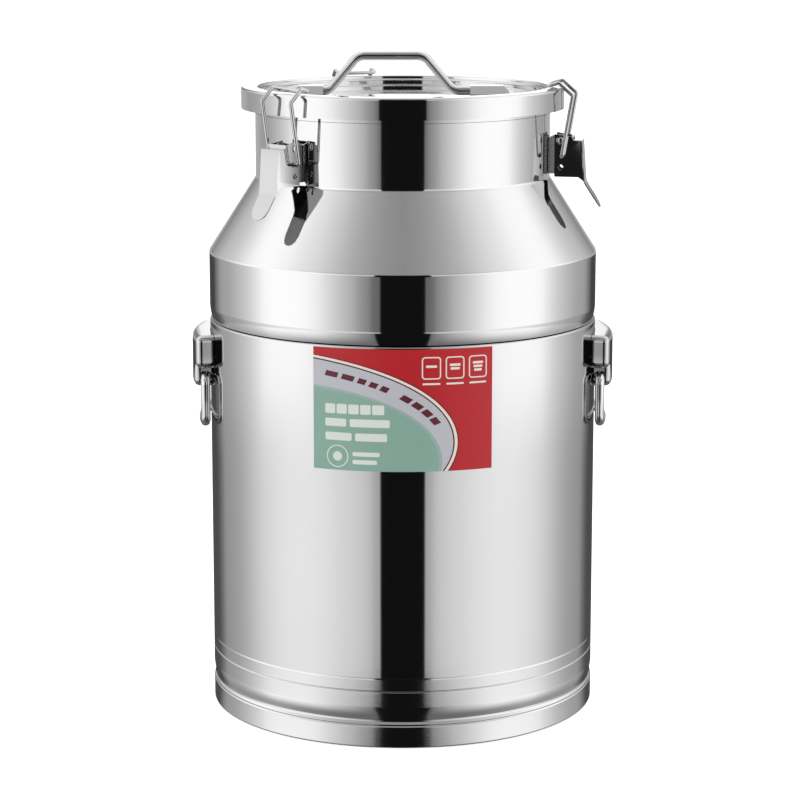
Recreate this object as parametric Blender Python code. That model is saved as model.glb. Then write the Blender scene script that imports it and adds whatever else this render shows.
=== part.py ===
"""Sealed stainless milk can. Three over-centre latches on the neck hold the lid down on its gasket.

Metres, +Z up. The origin is under the middle of the can, on the plane that it stands on. The front, where
the label is, faces -Y, and the two side handles are at -X and +X. Angles round the can are in degrees,
start at the front and grow towards +X. A profile is a list of (radius, height) points.
"""

import math

import bmesh
import bpy
from mathutils import Matrix, Vector

# ---- Driving dimensions -------------------------------------------------------------------------------

GAP = 0.0003  # left between pieces that touch on the real can
CUT_PAST = 0.0010  # a cutter runs this far past the surface that it opens
ROUND_SEGMENTS = 40

BODY_RADIUS = 0.1750
SHELL_SHEET = 0.0008
FOOT_SHEET = 0.0012
LAP_CLEARANCE = 0.0004
LAP_DEPTH = 0.0088
SEAM_HEIGHT = 0.3558  # lower edge of the upper shell
BAND_TOP = 0.4163
NECK_BOTTOM = 0.4827
NECK_RADIUS = 0.1324
NECK_TOP = 0.5400

FOOT_HEIGHT = 0.0626
FOOT_FACE_WIDTH = 0.0055
FOOT_BEAD_HEIGHT = 0.0508
FOOT_GROOVE_LOW = 0.0200
FOOT_GROOVE_HIGH = 0.0310
BASE_HEIGHT = 0.0600
BASE_DISH = 0.0030

MOUTH_FLANGE_RADIUS = 0.1428
MOUTH_TOP = 0.5560

LID_RADIUS = 0.1449
LID_TOP = 0.5630
LID_SKIRT_BOTTOM = 0.5440
LID_STEP_RADIUS = 0.1300
LID_STEP_HEIGHT = 0.5596
LID_FLOOR_RADIUS = 0.1262
LID_FLOOR = 0.5540

LID_BAR_RADIUS = 0.0040
LID_BAR_TOP = 0.5936
LID_BAR_CENTRE_X = -0.0104
LID_BAR_HALF_TOP = 0.0294  # to the corner where the top run would meet the leg
LID_BAR_HALF_FOOT = 0.0561
LID_BAR_BEND = 0.0130
LID_BAR_TIGHT_BEND = 0.0090  # the left foot, which turns into its lug at once
LUG_LEFT_X = (-0.1005, -0.0713)
LUG_RIGHT_X = (0.0605, 0.0975)
LUG_HALF_WIDTH = 0.0110
LUG_HEIGHT = 0.0094
LUG_RAMP = 0.0075
LUG_END_WALL = 0.0085
LID_BAR_FOOT_HEIGHT = LID_FLOOR + GAP + LID_BAR_RADIUS + 0.0001

LABEL_HALF_ANGLE = 25.6
LABEL_LOW = 0.2470
LABEL_HIGH = 0.3530
LABEL_SHEET = 0.0003

BRACKET_OUTER_RADIUS = 0.1912
BRACKET_TOP = 0.3435
BRACKET_END_LOW = 0.3134
BRACKET_MIDDLE_LOW = 0.2954
BRACKET_HALF_WIDTH = 0.0530
BRACKET_MIDDLE_HALF_WIDTH = 0.0400
BRACKET_SHEET = 0.0020
BRACKET_CORNER = 0.0045

SIDE_BAIL_RADIUS = 0.00425
SIDE_BAIL_PIVOT = (0.1770, 0.3050)  # distance from the can's axis, height
SIDE_BAIL_HALF_WIDTH = 0.0470
SIDE_BAIL_PIN_END = 0.0365
SIDE_BAIL_LOW = 0.2643  # centre line of the bottom run
SIDE_BAIL_BEND = 0.0065
SIDE_BAIL_BOW = 0.0046  # the bottom run bows out by this to clear the barrel

LATCH_ANGLES = {"latch_1": -44.5, "latch_2": 81.0, "latch_3": -161.0}
LEVER_PIVOT = (0.1430, 0.5168)
WIRE_ANCHOR = (0.1454, 0.5030)
LOCK_HOLE = (0.1437, 0.4930)
LEVER_HALF_WIDTH = 0.0110
LEVER_SHEET = 0.0010
PIN_RADIUS = 0.0019
WIRE_RADIUS = 0.0018
WIRE_HALF_WIDTH = 0.0180
WIRE_BEND = 0.0024
BASE_HALF_WIDTH = 0.0087
BASE_SHEET = 0.0012
BASE_EAR_TOP = 0.5190
BASE_EAR_LOW = 0.4870
EAR_ROUND = 0.0050


# ---- Plain helpers ------------------------------------------------------------------------------------


def clear_scene():
    for item in list(bpy.data.objects):
        bpy.data.objects.remove(item, do_unlink=True)


def make_material(name, colour, metallic, roughness):
    material = bpy.data.materials.new(name)
    material.use_nodes = True
    shader = material.node_tree.nodes["Principled BSDF"]
    shader.inputs["Base Color"].default_value = (*colour, 1.0)
    shader.inputs["Metallic"].default_value = metallic
    shader.inputs["Roughness"].default_value = roughness
    return material


def steel(name, roughness=0.08):
    return make_material(name, (0.62, 0.62, 0.63), 1.0, roughness)


def link(name, data, material, location=(0.0, 0.0, 0.0), parent=None):
    item = bpy.data.objects.new(name, data)
    bpy.context.scene.collection.objects.link(item)
    item.location = location
    item.parent = parent
    if not item.data.materials:
        item.data.materials.append(material)
    return item


def mesh_from(name, builder):
    """A mesh from a bmesh, with its faces turned outwards and its round faces shaded smooth."""
    bmesh.ops.recalc_face_normals(builder, faces=builder.faces)
    mesh = bpy.data.meshes.new(name)
    builder.to_mesh(mesh)
    builder.free()
    mesh.shade_smooth()
    mesh.set_sharp_from_angle(angle=math.radians(35.0))
    return mesh


def arc(centre, radius, start, end, steps):
    """Points on an arc, both ends included; the angles are in degrees from the first axis."""
    points = []
    for index in range(steps + 1):
        angle = math.radians(start + (end - start) * index / steps)
        points.append((centre[0] + radius * math.cos(angle), centre[1] + radius * math.sin(angle)))
    return points


def offset_line(points, distance):
    """The open line, moved sideways by distance to its left, with its corners kept sharp."""
    moved = []
    last = len(points) - 1
    for index, point in enumerate(points):
        here = Vector(point)
        before = (here - Vector(points[max(index - 1, 0)])) if index else None
        after = (Vector(points[min(index + 1, last)]) - here) if index < last else None
        runs = [run.normalized() for run in (before, after) if run is not None]
        normals = [Vector((-run.y, run.x)) for run in runs]
        middle = sum(normals, Vector((0.0, 0.0))).normalized()
        moved.append(tuple(here + middle * distance / middle.dot(normals[0])))
    return moved


def sheet_profile(line, thickness):
    """A closed outline for sheet metal that lies to the left of the line."""
    return list(line) + list(reversed(offset_line(line, thickness)))


def turned(name, profile, material, segments=ROUND_SEGMENTS):
    """A closed profile turned about Z. Points on the axis become single vertices."""
    builder = bmesh.new()
    rings = []
    for radius, height in profile:
        if radius < 1e-6:
            rings.append([builder.verts.new((0.0, 0.0, height))])
            continue
        ring = []
        for index in range(segments):
            angle = math.tau * index / segments
            ring.append(builder.verts.new((radius * math.cos(angle), radius * math.sin(angle), height)))
        rings.append(ring)
    for index, ring in enumerate(rings):
        following = rings[(index + 1) % len(rings)]
        if len(ring) == 1 and len(following) == 1:
            continue
        for side in range(segments):
            corners = [
                ring[side % len(ring)],
                ring[(side + 1) % len(ring)],
                following[(side + 1) % len(following)],
                following[side % len(following)],
            ]
            builder.faces.new(list(dict.fromkeys(corners)))
    return link(name, mesh_from(name, builder), material)


def prism(outline, low, high):
    """A bmesh: an outline in the XZ plane, carried along Y from low to high."""
    builder = bmesh.new()
    near = [builder.verts.new((x, low, z)) for x, z in outline]
    far = [builder.verts.new((x, high, z)) for x, z in outline]
    builder.faces.new(near)
    builder.faces.new(list(reversed(far)))
    for index in range(len(outline)):
        following = (index + 1) % len(outline)
        builder.faces.new((near[index], near[following], far[following], far[index]))
    return builder


def rounded_path(corners, bends, steps):
    """The points of a path through the corners, with one bend radius for each inner corner."""
    points = [Vector(corners[0])]
    for before, here, after, bend in zip(corners, corners[1:], corners[2:], bends):
        corner = Vector(here)
        back = (Vector(before) - corner).normalized()
        ahead = (Vector(after) - corner).normalized()
        half = back.angle(ahead) / 2.0
        centre = corner + (back + ahead).normalized() * bend / math.sin(half)
        start = (corner + back * bend / math.tan(half) - centre).normalized()
        end = (corner + ahead * bend / math.tan(half) - centre).normalized()
        for index in range(steps + 1):
            points.append(centre + start.slerp(end, index / steps) * bend)
    points.append(Vector(corners[-1]))
    return points


def bar_curve(name, points, radius, resolution):
    """A round bar along the points, with flat closed ends."""
    curve = bpy.data.curves.new(name, "CURVE")
    curve.dimensions = "3D"
    curve.bevel_depth = radius
    curve.bevel_resolution = resolution
    curve.use_fill_caps = True
    spline = curve.splines.new("POLY")
    spline.points.add(len(points) - 1)
    for place, point in zip(spline.points, points):
        place.co = (*point, 1.0)
    return curve


def cylinder_along_y(builder, x, z, radius, low, high, sides):
    placing = Matrix.Translation((x, (low + high) / 2.0, z)) @ Matrix.Rotation(math.pi / 2.0, 4, "X")
    bmesh.ops.create_cone(
        builder,
        cap_ends=True,
        segments=sides,
        radius1=radius,
        radius2=radius,
        depth=high - low,
        matrix=placing,
    )


def combine(name, builder, steps):
    """The mesh of a bmesh after Boolean steps, each an operation and a second bmesh."""
    for shape in (builder, *(other for _, other in steps)):
        bmesh.ops.triangulate(shape, faces=shape.faces)
    base = link(name + "_raw", mesh_from(name + "_raw", builder), None)
    tools = []
    for index, (operation, other) in enumerate(steps):
        label = f"{name}_tool_{index}"
        tool = link(label, mesh_from(label, other), None)
        tool.hide_render = True
        tool.display_type = "WIRE"
        modifier = base.modifiers.new(label, "BOOLEAN")
        modifier.operation = operation
        modifier.solver = "EXACT"
        modifier.object = tool
        tools.append(tool)
    bpy.context.view_layer.update()
    graph = bpy.context.evaluated_depsgraph_get()
    mesh = bpy.data.meshes.new_from_object(base.evaluated_get(graph))
    mesh.name = name
    mesh.materials.clear()
    for item in (base, *tools):
        bpy.data.objects.remove(item, do_unlink=True)
    return mesh


# ---- Can body -----------------------------------------------------------------------------------------


def make_barrel():
    """Straight barrel. Its ends are swaged in, to sit inside the foot ring and the upper shell."""
    lap_low = BODY_RADIUS - FOOT_SHEET - LAP_CLEARANCE
    lap_high = BODY_RADIUS - SHELL_SHEET - LAP_CLEARANCE
    line = [
        (lap_low, FOOT_HEIGHT - LAP_DEPTH),
        (lap_low, FOOT_HEIGHT + 0.0004),
        (BODY_RADIUS, FOOT_HEIGHT + 0.0018),
        (BODY_RADIUS, SEAM_HEIGHT - 0.0020),
        (lap_high, SEAM_HEIGHT - 0.0005),
        (lap_high, SEAM_HEIGHT + LAP_DEPTH),
    ]
    turned("barrel_shell", sheet_profile(line, SHELL_SHEET), steel("barrel_steel"))


def make_shoulder():
    """Upper shell: a short band, the cone and the neck, drawn in one piece."""
    line = [
        (BODY_RADIUS, SEAM_HEIGHT),
        (BODY_RADIUS, BAND_TOP - 0.0015),
        (BODY_RADIUS - 0.0010, BAND_TOP + 0.0013),
        (NECK_RADIUS + 0.0016, NECK_BOTTOM - 0.0024),
        (NECK_RADIUS, NECK_BOTTOM + 0.0024),
        (NECK_RADIUS, NECK_TOP),
    ]
    turned("shoulder_shell", sheet_profile(line, SHELL_SHEET), steel("shoulder_steel"))


def make_mouth_ring():
    """Flanged ring on top of the neck, with its lip turned down. The gasket seals on it."""
    line = [
        (NECK_RADIUS, NECK_TOP + GAP),
        (NECK_RADIUS, MOUTH_TOP - 0.0022),
        (NECK_RADIUS + 0.0010, MOUTH_TOP - 0.0012),
        (MOUTH_FLANGE_RADIUS - 0.0024, MOUTH_TOP - 0.0012),
        (MOUTH_FLANGE_RADIUS - 0.0012, MOUTH_TOP - 0.0024),
        (MOUTH_FLANGE_RADIUS - 0.0012, MOUTH_TOP - 0.0055),
    ]
    outer = [
        (MOUTH_FLANGE_RADIUS, MOUTH_TOP - 0.0055),
        (MOUTH_FLANGE_RADIUS, MOUTH_TOP - 0.0020),
        (MOUTH_FLANGE_RADIUS - 0.0020, MOUTH_TOP),
        (NECK_RADIUS + 0.0002, MOUTH_TOP),
        (NECK_RADIUS - SHELL_SHEET, MOUTH_TOP - 0.0012),
        (NECK_RADIUS - SHELL_SHEET, NECK_TOP + GAP),
    ]
    turned("mouth_ring", line + outer, steel("mouth_steel"))


def make_base_plate():
    """Dished bottom of the can, with its edge turned down inside the barrel."""
    edge = BODY_RADIUS - FOOT_SHEET - 2.0 * LAP_CLEARANCE - SHELL_SHEET
    middle = BASE_HEIGHT - BASE_DISH
    line = [
        (edge, BASE_HEIGHT - 0.0150),
        (edge, BASE_HEIGHT - 0.0045),
        (edge - 0.0015, BASE_HEIGHT - 0.0012),
        (edge - 0.0048, BASE_HEIGHT),
        (0.0, middle),
    ]
    under = list(reversed(offset_line(line[:-1], SHELL_SHEET)))
    profile = line + [(0.0, middle - SHELL_SHEET)] + under
    turned("base_plate", profile, steel("base_steel", 0.2))


def make_foot_ring():
    """Hoop that the can stands on: a bead near its top, a groove, and its lower edge turned in."""
    radius = BODY_RADIUS
    face_inner = radius - FOOT_FACE_WIDTH - 0.0010
    line = [
        (face_inner, 0.0),
        (radius - 0.0010, 0.0),
        (radius, 0.0010),
        (radius, FOOT_GROOVE_LOW),
        (radius - 0.0014, FOOT_GROOVE_LOW + 0.0030),
        (radius - 0.0014, FOOT_GROOVE_HIGH - 0.0030),
        (radius, FOOT_GROOVE_HIGH),
        (radius, FOOT_BEAD_HEIGHT - 0.0010),
        (radius - 0.0008, FOOT_BEAD_HEIGHT),
        (radius, FOOT_BEAD_HEIGHT + 0.0010),
        (radius, FOOT_HEIGHT),
    ]
    turned("foot_ring", sheet_profile(line, FOOT_SHEET), steel("foot_steel", 0.12))


def facet_radius(radius, angle):
    """Radius of the turned shells' flat facets at an angle, in degrees, round the can."""
    step = 360.0 / ROUND_SEGMENTS
    within = (angle % step) - step / 2.0
    return radius * math.cos(math.radians(step / 2.0)) / math.cos(math.radians(within))


def make_label():
    """Printed sticker on the front of the barrel, lying on its facets."""
    step = 360.0 / ROUND_SEGMENTS
    inside = math.floor(LABEL_HALF_ANGLE / step) * step
    angles = [-LABEL_HALF_ANGLE]
    count = int(2.0 * inside / step)
    angles += [-inside + step * index for index in range(count + 1)]
    angles.append(LABEL_HALF_ANGLE)
    builder = bmesh.new()
    rows = []
    for angle in angles:
        inner = facet_radius(BODY_RADIUS + GAP, angle)
        outer = facet_radius(BODY_RADIUS + GAP + LABEL_SHEET, angle)
        across = Vector((math.sin(math.radians(angle)), -math.cos(math.radians(angle)), 0.0))
        row = []
        section = ((inner, LABEL_LOW), (outer, LABEL_LOW), (outer, LABEL_HIGH), (inner, LABEL_HIGH))
        for radius, height in section:
            row.append(builder.verts.new(across * radius + Vector((0.0, 0.0, height))))
        rows.append(row)
    for row, following in zip(rows, rows[1:]):
        for index in range(4):
            after = (index + 1) % 4
            builder.faces.new((row[index], row[after], following[after], following[index]))
    builder.faces.new(rows[0])
    builder.faces.new(rows[-1])
    material = make_material("label_print", (0.60, 0.02, 0.03), 0.0, 0.35)
    link("label", mesh_from("label", builder), material)


# ---- Lid ----------------------------------------------------------------------------------------------


def make_lid_pan():
    """Pressed lid: a deep skirt, a flat rim, and a stepped floor below the rim."""
    line = [
        (LID_RADIUS, LID_SKIRT_BOTTOM),
        (LID_RADIUS, LID_TOP - 0.0018),
        (LID_RADIUS - 0.0005, LID_TOP - 0.0005),
        (LID_RADIUS - 0.0018, LID_TOP),
        (LID_STEP_RADIUS + 0.0012, LID_TOP),
        (LID_STEP_RADIUS, LID_TOP - 0.0010),
        (LID_STEP_RADIUS, LID_STEP_HEIGHT),
        (LID_FLOOR_RADIUS + 0.0006, LID_STEP_HEIGHT),
        (LID_FLOOR_RADIUS, LID_FLOOR),
    ]
    under = list(reversed(offset_line(line, SHELL_SHEET)))
    profile = line + [(0.0, LID_FLOOR), (0.0, LID_FLOOR - SHELL_SHEET)]
    profile += [(under[0][0], LID_FLOOR - SHELL_SHEET)] + under[1:]
    turned("lid_pan", profile, steel("lid_steel"))


def make_gasket():
    """Silicone ring under the lid's rim, just above the mouth ring."""
    inner = LID_STEP_RADIUS + SHELL_SHEET + 0.0007
    outer = MOUTH_FLANGE_RADIUS - 0.0003
    top = LID_TOP - SHELL_SHEET - GAP
    low = MOUTH_TOP + GAP
    silicone = make_material("silicone", (0.75, 0.74, 0.70), 0.0, 0.5)
    turned("lid_gasket", [(inner, low), (outer, low), (outer, top), (inner, top)], silicone)


def make_lid_bar():
    """Bent round bar. Its feet run out along the lid's floor into the two lugs."""
    foot = LID_BAR_FOOT_HEIGHT
    top = LID_BAR_TOP - LID_BAR_RADIUS
    corners = [
        (LUG_LEFT_X[0] + LUG_END_WALL + GAP, 0.0, foot),
        (LID_BAR_CENTRE_X - LID_BAR_HALF_FOOT, 0.0, foot),
        (LID_BAR_CENTRE_X - LID_BAR_HALF_TOP, 0.0, top),
        (LID_BAR_CENTRE_X + LID_BAR_HALF_TOP, 0.0, top),
        (LID_BAR_CENTRE_X + LID_BAR_HALF_FOOT, 0.0, foot),
        (LUG_RIGHT_X[1] - LUG_END_WALL - GAP, 0.0, foot),
    ]
    path = rounded_path(corners, (LID_BAR_TIGHT_BEND, LID_BAR_BEND, LID_BAR_BEND, LID_BAR_BEND), 4)
    link("lid_handle_bar", bar_curve("lid_handle_bar", path, LID_BAR_RADIUS, 2), steel("bar_steel"))


def make_lug(name, inner_x, outer_x):
    """Saddle over one end of the lid's bar, open at its inner end and below, ramped at its outer end."""
    low = LID_FLOOR + GAP
    high = LID_FLOOR + LUG_HEIGHT
    outward = math.copysign(1.0, outer_x - inner_x)
    builder = bmesh.new()
    section = [
        (-LUG_HALF_WIDTH, low),
        (-LUG_HALF_WIDTH, low + 0.0022),
        (-LUG_HALF_WIDTH * 0.62, high),
        (LUG_HALF_WIDTH * 0.62, high),
        (LUG_HALF_WIDTH, low + 0.0022),
        (LUG_HALF_WIDTH, low),
    ]
    rows = []
    for at_outer_end in (False, True):
        row = []
        for y, z in section:
            back = LUG_RAMP * (z - low) / (high - low)
            x = outer_x - outward * back if at_outer_end else inner_x
            row.append(builder.verts.new((x, y, z)))
        rows.append(row)
    for index in range(len(section)):
        after = (index + 1) % len(section)
        builder.faces.new((rows[0][index], rows[0][after], rows[1][after], rows[1][index]))
    builder.faces.new(rows[0])
    builder.faces.new(rows[1])
    bore = (LID_BAR_RADIUS + GAP) * 1.02
    channel = bmesh.new()
    outline = arc((0.0, LID_BAR_FOOT_HEIGHT), bore, 0.0, 180.0, 8)
    outline += [(-bore, low - CUT_PAST), (bore, low - CUT_PAST)]
    ends = sorted((inner_x - outward * CUT_PAST, outer_x - outward * LUG_END_WALL))
    near = [channel.verts.new((ends[0], y, z)) for y, z in outline]
    far = [channel.verts.new((ends[1], y, z)) for y, z in outline]
    channel.faces.new(near)
    channel.faces.new(far)
    for index in range(len(outline)):
        after = (index + 1) % len(outline)
        channel.faces.new((near[index], near[after], far[after], far[index]))
    mesh = combine(name, builder, [("DIFFERENCE", channel)])
    link(name, mesh, steel(name + "_steel"))


# ---- Side handles -------------------------------------------------------------------------------------


def bracket_outline():
    """Half-symmetric outline of the pressed bracket: (distance along the barrel, height)."""
    half = BRACKET_HALF_WIDTH
    middle = BRACKET_MIDDLE_HALF_WIDTH
    corner = BRACKET_CORNER
    right = arc((half - corner, BRACKET_TOP - corner), corner, 90.0, 0.0, 2)
    right += arc((half - corner, BRACKET_END_LOW + corner), corner, 0.0, -90.0, 2)
    right += [(middle, BRACKET_END_LOW)]
    right += arc((middle - corner, BRACKET_MIDDLE_LOW + corner), corner, 0.0, -90.0, 2)
    left = [(-across, height) for across, height in reversed(right)]
    return right + left


def curved_block(outline, low_radius, high_radius, bend_columns):
    """A bmesh: an outline wrapped on the barrel and carried from one radius out to another."""
    builder = bmesh.new()
    flat = [builder.verts.new((across, 0.0, height)) for across, height in outline]
    builder.faces.new(flat)
    widest = max(across for across, _ in outline)
    for index in range(1, bend_columns):
        across = widest * (2.0 * index / bend_columns - 1.0)
        geometry = builder.verts[:] + builder.edges[:] + builder.faces[:]
        bmesh.ops.bisect_plane(
            builder, geom=geometry, dist=1e-6, plane_co=(across, 0.0, 0.0), plane_no=(1.0, 0.0, 0.0)
        )
    grown = bmesh.ops.extrude_face_region(builder, geom=builder.faces[:])
    outer = {item for item in grown["geom"] if isinstance(item, bmesh.types.BMVert)}
    for vert in builder.verts:
        radius = high_radius if vert in outer else low_radius
        angle = vert.co.x / high_radius
        height = vert.co.z
        vert.co = (radius * math.cos(angle), radius * math.sin(angle), height)
    return builder


def make_bracket(name, side):
    """Pressed cover on the side of the barrel. The bail's ends turn in through its lower block."""
    back = BODY_RADIUS + GAP + 0.0002
    body = curved_block(bracket_outline(), back, BRACKET_OUTER_RADIUS, 8)
    inset = BRACKET_SHEET
    hollow_outline = [
        (BRACKET_HALF_WIDTH - inset, BRACKET_TOP - inset),
        (BRACKET_HALF_WIDTH - inset, BRACKET_END_LOW + inset),
        (BRACKET_MIDDLE_HALF_WIDTH - inset, BRACKET_END_LOW + inset),
        (BRACKET_MIDDLE_HALF_WIDTH - inset, BRACKET_MIDDLE_LOW + inset),
        (-BRACKET_MIDDLE_HALF_WIDTH + inset, BRACKET_MIDDLE_LOW + inset),
        (-BRACKET_MIDDLE_HALF_WIDTH + inset, BRACKET_END_LOW + inset),
        (-BRACKET_HALF_WIDTH + inset, BRACKET_END_LOW + inset),
        (-BRACKET_HALF_WIDTH + inset, BRACKET_TOP - inset),
    ]
    hollow = curved_block(hollow_outline, back - 0.0060, BRACKET_OUTER_RADIUS - BRACKET_SHEET, 8)
    holes = bmesh.new()
    reach = BRACKET_MIDDLE_HALF_WIDTH
    for direction in (-1.0, 1.0):
        ends = sorted((direction * (reach - 0.0060), direction * (reach + 0.0040)))
        cylinder_along_y(
            holes, SIDE_BAIL_PIVOT[0], SIDE_BAIL_PIVOT[1], SIDE_BAIL_RADIUS + 0.0005, ends[0], ends[1], 12
        )
    mesh = combine(name, body, [("DIFFERENCE", hollow), ("DIFFERENCE", holes)])
    bracket = link(name, mesh, steel(name + "_steel"))
    bracket.rotation_euler.z = 0.0 if side > 0 else math.pi


def make_side_bail(name, side):
    """Hanging bar handle. Its origin is on the axis of the two pins that it swings on."""
    drop = SIDE_BAIL_LOW - SIDE_BAIL_PIVOT[1]
    half = SIDE_BAIL_HALF_WIDTH
    corners = [(0.0, SIDE_BAIL_PIN_END, 0.0), (0.0, half, 0.0), (0.0, half, drop), (0.0, 0.0, drop)]
    quarter = rounded_path(corners, (SIDE_BAIL_BEND, SIDE_BAIL_BEND), 3)[:-1]
    for index in range(1, 4):
        quarter.append(Vector((0.0, (half - SIDE_BAIL_BEND) * (1.0 - index / 4.0), drop)))
    whole = quarter + [Vector((0.0, 0.0, drop))]
    whole += [Vector((point.x, -point.y, point.z)) for point in reversed(quarter)]
    for point in whole:
        lowness = min(max(point.z / drop, 0.0), 1.0)
        point.x = lowness * SIDE_BAIL_BOW * math.cos(point.y / half * math.pi / 2.0)
    holder = bpy.data.objects.new(name + "_pivot", None)
    bpy.context.scene.collection.objects.link(holder)
    holder.rotation_euler.z = 0.0 if side > 0 else math.pi
    place = (SIDE_BAIL_PIVOT[0], 0.0, SIDE_BAIL_PIVOT[1])
    link(name, bar_curve(name, whole, SIDE_BAIL_RADIUS, 2), steel(name + "_steel"), place, holder)


# ---- Latches: drawn in their own frame, +X outwards from the can's axis and +Y round the can ------------


def away_from(point, centre):
    return (point[0] - centre[0], point[1] - centre[1])


def lever_strip_rows():
    """Outer face of the lever from its top wall to the tip of its finger tab: x, z, half width."""
    return [
        (0.1539, 0.5205, LEVER_HALF_WIDTH - 0.0004),
        (0.1543, 0.5173, LEVER_HALF_WIDTH - 0.0004),
        (0.1627, 0.5169, LEVER_HALF_WIDTH),
        (0.1653, 0.4806, LEVER_HALF_WIDTH),
        (0.1669, 0.4772, 0.0102),
        (0.1742, 0.4660, 0.0098),
        (0.1769, 0.4615, 0.0082),
        (0.1785, 0.4588, 0.0056),
        (0.1793, 0.4575, 0.0022),
    ]


def lever_strip():
    """The bent strip: a short top wall and shelf, the outer wall, and a finger tab with a round tip."""
    rows = lever_strip_rows()
    outer = [away_from(row[:2], LEVER_PIVOT) for row in rows]
    inner = offset_line(outer, -LEVER_SHEET)
    builder = bmesh.new()
    loops = []
    for (x_out, z_out), (x_in, z_in), row in zip(outer, inner, rows):
        half = row[2]
        loops.append(
            [
                builder.verts.new((x_out, -half, z_out)),
                builder.verts.new((x_out, half, z_out)),
                builder.verts.new((x_in, half, z_in)),
                builder.verts.new((x_in, -half, z_in)),
            ]
        )
    for loop, following in zip(loops, loops[1:]):
        for index in range(4):
            after = (index + 1) % 4
            builder.faces.new((loop[index], loop[after], following[after], following[index]))
    builder.faces.new(loops[0])
    builder.faces.new(loops[-1])
    return builder


def lever_flange_outline():
    points = [
        (0.1382, 0.5225),
        (0.1382, 0.4845),
        (0.1597, 0.4843),
        (0.1639, 0.4812),
        (0.1647, 0.4815),
        (0.1622, 0.5164),
        (0.1550, 0.5168),
        (0.1537, 0.5202),
    ]
    return [away_from(point, LEVER_PIVOT) for point in points]


def lever_mesh():
    """Channel-shaped lever: strip, two side flanges, and holes for the pin, the wire and a lock."""
    outline = lever_flange_outline()
    inner = LEVER_HALF_WIDTH - LEVER_SHEET
    holes = bmesh.new()
    reach = LEVER_HALF_WIDTH + 0.0020
    for centre, radius in ((LEVER_PIVOT, PIN_RADIUS), (WIRE_ANCHOR, WIRE_RADIUS), (LOCK_HOLE, 0.0020)):
        x, z = away_from(centre, LEVER_PIVOT)
        cylinder_along_y(holes, x, z, radius + 0.0004, -reach, reach, 12)
    steps = [
        ("UNION", prism(outline, inner, LEVER_HALF_WIDTH - 0.00005)),
        ("UNION", prism(outline, -LEVER_HALF_WIDTH + 0.00005, -inner)),
        ("DIFFERENCE", holes),
    ]
    return combine("latch_lever", lever_strip(), steps)


def base_mesh():
    """Latch base welded to the neck: a back plate and two ears that carry the lever's pin."""
    back = NECK_RADIUS + GAP
    ear = [
        (back, BASE_EAR_TOP),
        (back, BASE_EAR_LOW),
        (back + 0.0058, BASE_EAR_LOW),
        (LEVER_PIVOT[0] + 0.0045, LEVER_PIVOT[1] - 0.0095),
    ]
    ear += arc(LEVER_PIVOT, EAR_ROUND, -35.0, 90.0, 4)
    inner = BASE_HALF_WIDTH - BASE_SHEET
    front = back + BASE_SHEET
    plate = [(back, BASE_EAR_TOP), (back, BASE_EAR_LOW), (front, BASE_EAR_LOW), (front, BASE_EAR_TOP)]
    hole = bmesh.new()
    reach = BASE_HALF_WIDTH + 0.0020
    cylinder_along_y(hole, LEVER_PIVOT[0], LEVER_PIVOT[1], PIN_RADIUS + 0.0004, -reach, reach, 12)
    steps = [
        ("UNION", prism(ear, inner, BASE_HALF_WIDTH)),
        ("UNION", prism(ear, -BASE_HALF_WIDTH, -inner)),
        ("DIFFERENCE", hole),
    ]
    return combine("latch_base", prism(plate, -inner - 0.0002, inner + 0.0002), steps)


def pin_mesh():
    """Headed pin through the ears and the lever."""
    builder = bmesh.new()
    reach = LEVER_HALF_WIDTH + GAP
    head = reach + 0.0010
    head_radius = PIN_RADIUS + 0.0014
    stations = [(-head, head_radius), (-reach, head_radius), (-reach, PIN_RADIUS)]
    stations += [(-y, radius) for y, radius in reversed(stations)]
    sides = 12
    rings = []
    for y, radius in stations:
        ring = []
        for index in range(sides):
            angle = math.tau * index / sides
            ring.append(builder.verts.new((radius * math.cos(angle), y, radius * math.sin(angle))))
        rings.append(ring)
    for ring, following in zip(rings, rings[1:]):
        for index in range(sides):
            after = (index + 1) % sides
            builder.faces.new((ring[index], ring[after], following[after], following[index]))
    builder.faces.new(rings[0])
    builder.faces.new(rings[-1])
    return mesh_from("latch_pin", builder)


def wire_curve():
    """Wire bail. Its ends turn in through the lever, and its bent top hooks over the lid's rim."""
    half = WIRE_HALF_WIDTH
    bar = (0.1328, LID_TOP + WIRE_RADIUS + 0.0008)
    side = [WIRE_ANCHOR, (0.1546, 0.5572), (0.1421, 0.5682), bar]
    x_z = [away_from(point, WIRE_ANCHOR) for point in side]
    turned_in = BASE_HALF_WIDTH + 0.0007
    corners = [(0.0, turned_in, 0.0)]
    corners += [(x, half, z) for x, z in x_z]
    corners += [(x, -half, z) for x, z in reversed(x_z)]
    corners.append((0.0, -turned_in, 0.0))
    path = rounded_path(corners, [WIRE_BEND] * (len(corners) - 2), 3)
    return bar_curve("latch_wire", path, WIRE_RADIUS, 2)


def make_latches():
    lever = lever_mesh()
    base = base_mesh()
    pin = pin_mesh()
    wire = wire_curve()
    lever_steel = steel("lever_steel")
    base_steel = steel("latch_base_steel", 0.15)
    pin_steel = steel("latch_pin_steel", 0.15)
    wire_steel = steel("latch_wire_steel")
    for name, angle in LATCH_ANGLES.items():
        frame = bpy.data.objects.new(name + "_frame", None)
        bpy.context.scene.collection.objects.link(frame)
        frame.rotation_euler.z = math.radians(angle - 90.0)
        pivot = (LEVER_PIVOT[0], 0.0, LEVER_PIVOT[1])
        anchor = (WIRE_ANCHOR[0], 0.0, WIRE_ANCHOR[1])
        link(name + "_base", base, base_steel, (0.0, 0.0, 0.0), frame)
        link(name + "_lever", lever, lever_steel, pivot, frame)
        link(name + "_pivot_pin", pin, pin_steel, pivot, frame)
        link(name + "_wire_bail", wire, wire_steel, anchor, frame)


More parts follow.
